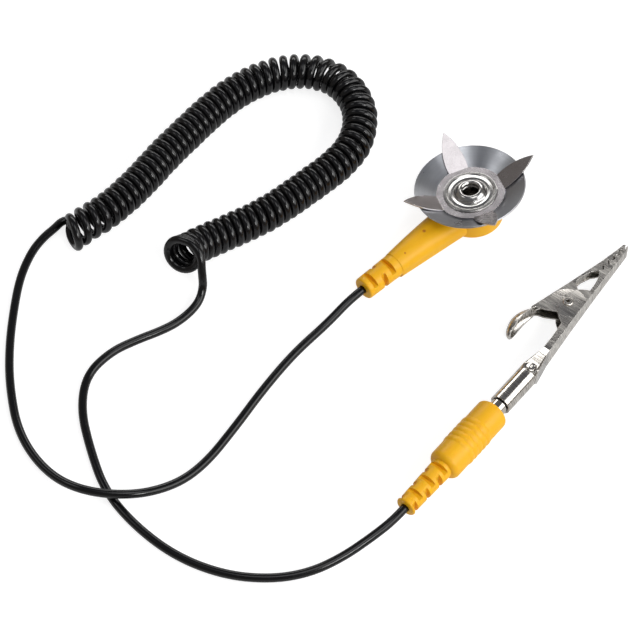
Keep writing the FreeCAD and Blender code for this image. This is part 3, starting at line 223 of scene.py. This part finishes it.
def rolled_metal(name, colours, roughness, stretch, line_mm, depth, place=(0, 0, 0), turn=None, edge_round_mm=0.12):
    """Metal with a worked grain: noise stretched along one direction of the piece's frame tints
    it and marks it with fine lines, and slow clouds change its roughness."""
    material, tree, surface = new_material(name)
    space = pattern_space(tree, place, turn, stretch)
    lines = add(tree, "TexNoise", grain_size(line_mm, 5.0, 0.7), {"Vector": space})
    cloud = add(tree, "TexNoise", grain_size(4.0), {"Vector": pattern_space(tree)})
    rough = add(tree, "MapRange", spread_to(*roughness), {"Value": cloud})
    finish_metal(tree, surface, lines, colours, rough, edge_round_mm, [(lines, depth, 0.6)])
    return material


def turned_metal(name, colours, roughness, ring_mm, depth, place, turn, edge_round_mm=0.12):
    """Metal spun or rolled about an axis: its grain is noise of the distance from the axis and of
    the height, so that it runs in rings."""
    material, tree, surface = new_material(name)
    space = pattern_space(tree, place, turn)
    parts = add(tree, "SeparateXYZ", links={"Vector": space}).outputs
    flat = add(tree, "CombineXYZ", links={"X": parts["X"], "Y": parts["Y"]})
    radius = add(tree, "VectorMath", links={0: flat}, operation="LENGTH")
    polar = add(tree, "CombineXYZ", links={"X": radius, "Z": parts["Z"]})
    rings = add(tree, "TexNoise", grain_size(ring_mm, 4.0, 0.7), {"Vector": polar})
    cloud = add(tree, "TexNoise", grain_size(5.0), {"Vector": space})
    rough = add(tree, "MapRange", spread_to(*roughness), {"Value": cloud})
    finish_metal(tree, surface, rings, colours, rough, edge_round_mm, [(rings, depth, 0.5)])
    return material


def clip_nickel():
    """Nickel plate over stamped steel: polished, with long scratches across the walls from the
    tumbling drum, dents where the tooth die and the bends have pressed it, a neck that the press
    has wedged towards the shaft and an ear that is pressed out round the rivet. It gives grey
    metal with dark and bright streaks. The scratches are drawn at 0.3 mm, as coarse as they need
    to show. The flat walls are scuffed, and the round barrel keeps its polish."""
    material, tree, surface = new_material("scratched_nickel_plate")
    space = pattern_space(tree, PLUG_PLACE, PLUG_TURN)
    across = pattern_space(tree, PLUG_PLACE, PLUG_TURN, (1, 0.06, 0.1))
    broadly = pattern_space(tree, PLUG_PLACE, PLUG_TURN, (1, 0.15, 0.3))
    fine = add(tree, "TexNoise", grain_size(0.3, 3.0, 0.6), {"Vector": across})
    broad = add(tree, "TexNoise", grain_size(1.6, 1.0, 0.5), {"Vector": broadly})
    lumps = add(tree, "TexNoise", grain_size(2.0, 1.0), {"Vector": space})
    along = add(tree, "SeparateXYZ", links={"Vector": space}).outputs["X"]
    # How hard the press has worked each place along the clip, from the barrel to the tip
    clip_mm = 60
    share = add(tree, "MapRange", fading(0, clip_mm, 0.0, 1.0), {"Value": along})
    pressed = add(tree, "ValToRGB", links={"Fac": share})
    levels = ((20, 0.0), (23, 0.8), (27, 0.7), (29, 0.1), (45, 0.15), (49, 1.0), (clip_mm, 1.0))
    fill_ramp(pressed, [(place / clip_mm, (level, level, level, 1)) for place, level in levels])
    dents = add(tree, "Math", links={0: lumps, 1: pressed}, operation="MULTIPLY")
    wedge = add(tree, "MapRange", fading(15.5, 22.0, 1.0, 0.0), {"Value": along})
    boss = round_spot(tree, space, (37.5, 4.5), 4.6)
    scuffed = add(tree, "MapRange", fading(21, 24, 0.0, 0.12), {"Value": along})
    gloss = add(tree, "MapRange", spread_to(0.1, 0.2), {"Value": broad})
    rough = add(tree, "Math", links={0: gloss, 1: scuffed}, operation="ADD")
    scratches = add(tree, "MapRange", {"From Min": 0.35, "From Max": 0.65}, {"Value": fine})
    finish_metal(tree, surface, scratches, ("#9A9691", "#DEDAD3"), rough, 0.13,
                 [(wedge, 1.35, 1.0), (boss, 0.22, 1.0), (dents, 0.12, 1.0), (broad, 0.03, 1.0),
                  (fine, 0.006, 1.0)])
    return material


def resistor_lacquer():
    """Dipped lacquer of the series resistor: tan and slightly glossy, with soft runs."""
    material, tree, surface = new_material("dipped_tan_lacquer")
    space = pattern_space(tree)
    cloud = add(tree, "TexNoise", grain_size(1.0), {"Vector": space})
    specks = add(tree, "TexNoise", grain_size(0.6), {"Vector": space})
    runs = add(tree, "TexNoise", grain_size(0.8), {"Vector": space})
    colour = add(tree, "Mix", tints("#B08A5A", "#C49C68"), {"Factor": cloud}, data_type="RGBA")
    rough = add(tree, "MapRange", spread_to(0.3, 0.45), {"Value": specks})
    join(tree, surface, {"Base Color": colour, "Roughness": rough})
    bumped(tree, surface, [(runs, 0.02, 0.3)])
    return material


# Two mould pins have marked the head's handle, at these places of its own frame
HEAD_PVC = moulded_pvc("moulded_yellow_pvc", (0, 0, 0), HEAD_TURN,
                       [((16.92, -0.57), 0.6, 0.12), ((25.2, 0.95), 0.35, 0.05)])
PLUG_PVC = moulded_pvc("moulded_yellow_pvc_grip", PLUG_PLACE, PLUG_TURN)
JACKET = polyurethane_jacket()
# Sheet spun to a dish: satin grey, with faint rings from the tool
DISH = turned_metal("spun_stainless_dish", ("#9FA1A6", "#B9BBBF"), (0.26, 0.36), 0.5, 0.004,
                    DISC_PLACE, DISC_TURN, 0.1)
# Sheet rolled and blanked into claws: a straight grain that only just shows
CLAWS = rolled_metal("rolled_stainless_sheet", ("#A5A1A2", "#B6B1B3"), (0.2, 0.3), (1, 0.12, 1), 0.5, 0.0015,
                     DISC_PLACE, DISC_TURN, 0.1)
# Eyelet and stud, rolled over in a polished tool: bright, with sharp reflections
EYELET = turned_metal("rolled_bright_stainless", ("#ABA9A7", "#C6C4C1"), (0.12, 0.2), 0.5, 0.004,
                      DISC_PLACE, DISC_TURN)
# Turned brass under nickel: warm, glossy, with fine rings about the pin
NICKEL = turned_metal("turned_nickel_plate", ("#B9B4AD", "#D2CDC5"), (0.1, 0.18), 0.4, 0.006,
                      PLUG_PLACE, PLUG_TURN @ Matrix.Rotation(math.radians(90), 3, "Y"))
CLIP = clip_nickel()
# Rivet rolled over cold: warm nickel, duller than the pin
RIVET = turned_metal("rolled_nickel_rivet", ("#B9B4AD", "#D2CDC5"), (0.2, 0.32), 0.3, 0.01,
                     CLIP_PIVOT, PLUG_TURN)
# Drawn wire and strip: grey and half matte
SPRING = rolled_metal("drawn_spring_steel", ("#86837F", "#A5A29E"), (0.25, 0.35), (1, 1, 1), 0.4, 0.004)
# Brass dipped in tin: pale yellow grey, soft gloss
BRASS = rolled_metal("tinned_brass", ("#BFB49A", "#CFC6B0"), (0.25, 0.38), (1, 1, 1), 0.5, 0.006)
LACQUER = resistor_lacquer()

FINISHES = {
    "snap_head_moulding": HEAD_PVC, "plug_moulding": PLUG_PVC,
    "socket_cup": NICKEL, "socket_rivet": NICKEL, "snap_stud": EYELET, "banana_pin": NICKEL,
    "terminal_tag": BRASS, "splice_ferrule": BRASS, "series_resistor": LACQUER,
    "head_cord_end": JACKET, "plug_cord_end": JACKET,
    "socket_spring": SPRING, "banana_spring_cage": SPRING, "clip_torsion_spring": SPRING,
    "dished_disc": DISH, "claw_plate": CLAWS, "centre_eyelet": EYELET,
    "clip_fixed_jaw": CLIP, "clip_moving_jaw": CLIP, "clip_rivet": RIVET,
}

for node_name, finish in FINISHES.items():
    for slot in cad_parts[node_name].material_slots:
        slot.material = finish


# Cord. Routes and radii are in mm until the mesh is made.
CORD_RADIUS = 1.1
HEAD_EXIT = np.array(HEAD_TURN @ Vector((39.0, 0, 3.5)))
HEAD_WAY = np.array(HEAD_TURN @ Vector((1, 0, 0)))
PLUG_EXIT = np.array(PLUG_PLACE / MM + PLUG_TURN @ Vector((-35.5, 0, 0)))
PLUG_WAY = np.array(PLUG_TURN @ Vector((1, 0, 0)))
COIL_AXIS = [
    (-102.6, -10.2, 4.95), (-101.0, -8.6, 4.95), (-98.2, -6.2, 4.85), (-95.0, -3.8, 4.75), (-90.0, 1.4, 4.75),
    (-84.7, 8.3, 4.75), (-79.8, 15.7, 4.75), (-74.3, 22.6, 4.75), (-68.8, 29.6, 4.75), (-62.8, 36.0, 4.75),
    (-55.8, 41.0, 4.75), (-48.3, 43.9, 4.75), (-40.0, 43.9, 4.75), (-32.4, 39.5, 4.75), (-28.1, 30.0, 4.75),
    (-29.6, 19.2, 4.75), (-35.0, 11.7, 4.75), (-41.3, 6.0, 4.75), (-47.6, 0.3, 4.75), (-54.1, -4.8, 4.75),
    (-61.1, -8.8, 4.75), (-67.0, -12.1, 4.85), (-70.7, -14.7, 5.6), (-73.0, -17.4, 6.8), (-74.3, -19.8, 8.2),
]
TURNS = 72.75
CURL_RADIUS = 3.6
# The first turns are loose, wider apart and lean, the last are tight and end in a wide mouth
LOOSE_RADIUS = 3.8
LOOSE_LENGTH = 14.0
LOOSE_PITCH = 1.42
LEAN_LENGTH = 8.0
COIL_LEAN = math.radians(16)
TIGHT_LENGTH = 16.0
TIGHT_PITCH = 0.8
MOUTH_LENGTH = 5.0
MOUTH_RADIUS = 4.4
# Part of the first turn is wound on the spot, and part of the last unwinds past the end
SPOT_TURN = 0.35
FREE_TURN = 0.25
FREE_RUN = 0.8
FREE_SWING = 1.9
# Curls differ a little in width, as wound cord does
UNEVEN = 0.05


def spline_points(name, points, resolution=16):
    """Points in mm along the NURBS spline of order 3 that a route's control points give."""
    data = bpy.data.curves.new(name, "CURVE")
    data.dimensions = "3D"
    data.resolution_u = resolution
    spline = data.splines.new("NURBS")
    spline.points.add(len(points) - 1)
    spline.points.foreach_set("co", np.hstack([np.array(points, float), np.ones((len(points), 1))]).ravel())
    spline.order_u = 3
    spline.use_endpoint_u = True
    holder = bpy.data.objects.new(name, data)
    bpy.context.scene.collection.objects.link(holder)
    bpy.context.view_layer.update()
    mesh = bpy.data.meshes.new_from_object(holder.evaluated_get(bpy.context.evaluated_depsgraph_get()))
    line = np.zeros(len(mesh.vertices) * 3)
    mesh.vertices.foreach_get("co", line)
    bpy.data.objects.remove(holder)
    bpy.data.meshes.remove(mesh)
    return line.reshape(-1, 3)


def lengths_along(line):
    """Length from the line's start to each of its points."""
    return np.concatenate([[0.0], np.cumsum(np.linalg.norm(np.diff(line, axis=0), axis=1))])


def unit(vectors):
    """Vectors of length 1 in the same directions."""
    return vectors / np.linalg.norm(vectors, axis=-1, keepdims=True)


def sampled(places, along, rows):
    """Rows given at the lengths along, interpolated at places."""
    return np.stack([np.interp(places, along, rows[:, axis]) for axis in range(3)], axis=1)


def evenly(line, count):
    """The line's points moved to equal steps along it."""
    along = lengths_along(line)
    return sampled(np.linspace(0, along[-1], count), along, line)


def smoothed(values, width):
    """Running mean with the ends held."""
    padded = np.concatenate([[values[0]] * width, values, [values[-1]] * width])
    return np.convolve(padded, np.ones(2 * width + 1) / (2 * width + 1), mode="valid")


def curls():
    """Centre line of the curls, and the direction outwards from their axis at each point. A point
    turns about the axis line at radius r while it advances. The turn's rate is one over the
    pitch, and the pitch is the cord's width spread by the bend as 1 / (1 - r / bend radius), so
    that the turns nearly touch on the inside of the bend. It starts under the axis and ends
    beside it."""
    axis_line = evenly(spline_points("coil_axis", COIL_AXIS), 1800)
    along = lengths_along(axis_line)
    left_over = along[-1] - along
    way = unit(np.gradient(axis_line, along, axis=0))
    bend = smoothed(smoothed(np.linalg.norm(np.gradient(way, along, axis=0), axis=1), 40), 40)
    left = unit(np.cross([0.0, 0.0, 1.0], way))
    upward = np.cross(way, left)
    lean = (COIL_LEAN * np.clip(1 - along / LEAN_LENGTH, 0, 1))[:, None]
    left = unit(left * np.cos(lean) + way * np.sin(lean))
    loose = np.clip(1 - along / LOOSE_LENGTH, 0, 1)
    tight = np.clip(1 - left_over / TIGHT_LENGTH, 0, 1)
    widening = np.clip(1 - left_over / MOUTH_LENGTH, 0, 1) ** 2
    radius = CURL_RADIUS + (LOOSE_RADIUS - CURL_RADIUS) * loose + (MOUTH_RADIUS - CURL_RADIUS) * widening
    pitch = (1 + (LOOSE_PITCH - 1) * loose) * (1 - (1 - TIGHT_PITCH) * tight) / (1 - CURL_RADIUS * bend)
    rate = 1 / pitch
    angle = np.concatenate([[0.0], np.cumsum((rate[1:] + rate[:-1]) / 2 * np.diff(along))])
    advancing = TURNS - FREE_TURN - SPOT_TURN
    angle = angle / angle[-1] * advancing
    points_per_turn = 40
    turn = np.linspace(0, TURNS, int(TURNS * points_per_turn) + 1)
    place = np.interp(np.clip(turn - SPOT_TURN, 0, advancing), angle, along)
    beyond = np.clip((turn - (TURNS - FREE_TURN)) / FREE_TURN, 0, 1)
    centre = sampled(place, along, axis_line) + way[-1] * (FREE_RUN * beyond)[:, None]
    uneven = UNEVEN * np.sin(turn * 2.31) * np.sin(turn * 0.53 + 1.0) * np.clip(turn, 0, 1) * (1 - beyond)
    radii = np.interp(place, along, radius) + FREE_SWING * beyond + uneven
    phase = 2 * np.pi * (turn + 0.5)
    above, beside = unit(sampled(place, along, upward)), unit(sampled(place, along, left))
    outward = above * np.cos(phase)[:, None] + beside * np.sin(phase)[:, None]
    return centre + outward * radii[:, None], outward


def tube(name, line, side, radius, sides=14):
    """Round tube: ring k is line k plus radius times (cos a * side + sin a * (way x side)), with
    flat caps. The UV map runs along the tube in metres and once round it."""
    way = unit(np.gradient(line, axis=0))
    side = unit(side - way * np.sum(side * way, axis=1, keepdims=True))
    other = np.cross(way, side)
    angles = np.linspace(0, 2 * np.pi, sides, endpoint=False)[None, :, None]
    outward = np.cos(angles) * side[:, None, :] + np.sin(angles) * other[:, None, :]
    rings = line[:, None, :] + radius * outward
    count = len(line)
    index = np.arange(count * sides).reshape(count, sides)
    ahead = np.roll(index, -1, axis=1)
    quads = np.stack([index[:-1], ahead[:-1], ahead[1:], index[1:]], axis=-1).reshape(-1, 4)
    mesh = bpy.data.meshes.new(name)
    faces = quads.tolist() + [index[0, ::-1].tolist(), index[-1].tolist()]
    mesh.from_pydata(rings.reshape(-1, 3), [], faces)
    mesh.polygons.foreach_set("use_smooth", [True] * len(quads) + [False, False])
    along = lengths_along(line)
    lane = np.tile(np.arange(sides), count - 1)
    ring = np.repeat(np.arange(count - 1), sides)
    u = np.stack([along[ring], along[ring], along[ring + 1], along[ring + 1]], axis=1)
    v = np.stack([lane, lane + 1, lane + 1, lane], axis=1) / sides
    uv = np.concatenate([np.stack([u, v], axis=-1).reshape(-1, 2), np.zeros((2 * sides, 2))])
    mesh.uv_layers.new(name="along").data.foreach_set("uv", uv.ravel())
    mesh.update()
    obj = bpy.data.objects.new(name, mesh)
    bpy.context.scene.collection.objects.link(obj)
    return obj


def level_side(line):
    """Level direction across a line, at each of its points."""
    return unit(np.cross([0.0, 0.0, 1.0], np.gradient(line, axis=0)))


def whole_cord():
    """The cord as one line in metres, first tail, curls, second tail, and a direction across it at
    each point. The tails' routes are control points that start and end on the pieces and the
    curls."""
    coil_line, outward = curls()
    start_way = unit((coil_line[1] - coil_line[0]) * [1, 1, 0])
    end_way = unit(coil_line[-1] - coil_line[-3])
    coil_start = coil_line[0] - start_way * 0.5
    coil_end = coil_line[-1] + end_way * 1.0
    snap_route = [
        HEAD_EXIT, HEAD_EXIT + HEAD_WAY * 4.8, (-37.2, -35.9, 1.6), (-45.7, -44.8, 1.1),
        (-53.4, -55.8, 1.1), (-59.8, -66.4, 1.1), (-67.2, -77.6, 1.1), (-74.5, -84.0, 1.6),
        (-84.5, -88.3, 4.0), (-96.5, -87.0, 4.0), (-105.8, -80.2, 1.6), (-113.2, -68.8, 1.1),
        (-116.3, -54.4, 1.1), (-117.1, -42.3, 1.1), (-116.6, -30.2, 1.1), (-115.6, -21.0, 1.1),
        (-113.2, -13.2, 1.1), (-110.3, -8.5, 1.1), (-107.9, -6.0, 1.1), (-105.8, -3.2, 1.1),
        (-103.6, -3.3, 1.1), (-104.0, -7.4, 1.1), coil_start,
    ]
    plug_route = [
        coil_end, coil_end + end_way * 1.8, (-68.8, -26.0, 3.7), (-69.6, -28.7, 1.6),
        (-71.6, -31.8, 1.1), (-75.2, -35.5, 1.1), (-79.4, -38.1, 1.1), (-84.8, -40.6, 1.1),
        (-91.6, -44.4, 1.1), (-97.4, -51.5, 1.1), (-98.2, -61.8, 1.1), (-95.3, -73.4, 1.1),
        (-91.2, -85.2, 1.1), (-83.4, -95.2, 1.1), (-73.3, -103.6, 1.1), (-61.8, -108.5, 1.1),
        (-50.9, -109.6, 1.1), (-41.8, -108.2, 1.6), (-33.9, -104.6, 2.7), (-26.8, -99.9, 4.3),
        PLUG_EXIT - PLUG_WAY * 4.6, PLUG_EXIT,
    ]
    first = evenly(spline_points("snap_route", snap_route), 300)
    last = evenly(spline_points("plug_route", plug_route), 280)
    line = np.concatenate([first, coil_line, last])
    side = np.concatenate([level_side(first), outward, level_side(last)])
    side = np.stack([smoothed(side[:, axis], 6) for axis in range(3)], axis=1)
    return line * MM, side


cord_line, cord_side = whole_cord()
cord = tube("curly_cord", cord_line, cord_side, CORD_RADIUS * MM)
cord.data.materials.append(JACKET)
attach(cord, "lead")
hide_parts("cord_tail_snap", "cord_coil", "cord_tail_plug")


# Studio
def studio_floor():
    """Seamless white paper, a wide level sheet: overexposed to white where it is seen, and pale
    grey in what it lights and where it is mirrored, as paper is in such a picture."""
    half = 3.0
    mesh = bpy.data.meshes.new("studio_floor")
    corners = [(-half, -half, 0), (half, -half, 0), (half, half, 0), (-half, half, 0)]
    mesh.from_pydata(corners, [], [(0, 1, 2, 3)])
    floor = bpy.data.objects.new("studio_floor", mesh)
    bpy.context.scene.collection.objects.link(floor)
    material, tree, surface = new_material("seamless_white_paper", {
        "Base Color": linear("#A8A8A8"), "Roughness": 0.9, "Specular IOR Level": 0.1,
        "Emission Color": linear("#FFFFFF")})
    seen = add(tree, "LightPath").outputs["Is Camera Ray"]
    glow = add(tree, "MapRange", {"To Min": 0.36, "To Max": 0.8}, {"Value": seen})
    join(tree, surface, {"Emission Strength": glow})
    mesh.materials.append(material)


def soft_light(name, heading, height, size, watts):
    """Rectangular soft box one metre off that faces the object: heading and height are the angles
    in degrees from +X and from the bench at which the object sees it, size its width and
    height."""
    middle = Vector((-0.035, -0.035, 0))
    turn, rise = math.radians(heading), math.radians(height)
    way = Vector((math.cos(turn) * math.cos(rise), math.sin(turn) * math.cos(rise), math.sin(rise)))
    data = bpy.data.lights.new(name, "AREA")
    data.shape = "RECTANGLE"
    data.size, data.size_y = size
    data.energy = watts
    light = bpy.data.objects.new(name, data)
    light.location = middle + way
    light.rotation_euler = (-way).to_track_quat("-Z", "Y").to_euler()
    light.visible_camera = False
    bpy.context.scene.collection.objects.link(light)


def studio_room():
    """Dim room: warm round the horizon, darker above and pale overhead. The ramp runs over the Z
    of the direction."""
    world = bpy.data.worlds.new("studio_room")
    world.use_nodes = True
    tree = world.node_tree
    background = tree.nodes["Background"]
    direction = add(tree, "TexCoord").outputs["Generated"]
    rise = add(tree, "SeparateXYZ", links={"Vector": direction}).outputs["Z"]
    ramp = add(tree, "ValToRGB", links={"Fac": rise})
    shades = ((0.0, "#8F8880"), (0.35, "#938E89"), (0.6, "#8A8988"), (0.76, "#84858A"),
              (0.9, "#6A6B6F"), (0.97, "#B8BAC0"), (1.0, "#DADCE2"))
    fill_ramp(ramp, [(place, linear(code)) for place, code in shades])
    join(tree, background, {"Color": ramp})
    background.inputs["Strength"].default_value = 0.8
    bpy.context.scene.world = world


def camera():
    """Long lens from 55 degrees above the bench."""
    data = bpy.data.cameras.new("camera")
    data.lens = 155.97
    data.sensor_width = 36
    data.clip_start, data.clip_end = 0.01, 20
    made = bpy.data.objects.new("camera", data)
    made.location = (-0.03922, -0.43586, 0.57401)
    aim = Vector((-0.03922, -0.03393, 0)) - made.location
    made.rotation_euler = aim.to_track_quat("-Z", "Y").to_euler()
    bpy.context.scene.collection.objects.link(made)
    bpy.context.scene.camera = made


studio_floor()
# A wide key light from the right, two small lamps in front and overhead, a low strip behind and a
# weak fill on the left, so that flat metal stays grey and turned metal gets bright and dark bands
soft_light("key_soft_box", -18, 32, (1.0, 0.7), 6.8)
soft_light("front_lamp", -60, 36, (0.24, 0.24), 2.6)
soft_light("top_lamp", -42, 78, (0.5, 0.5), 1.5)
soft_light("back_strip", 86, 29, (0.93, 0.27), 2.8)
soft_light("left_fill", 172, 48, (0.35, 0.3), 0.5)
studio_room()
bpy.context.scene.view_settings.view_transform = "Standard"
camera()
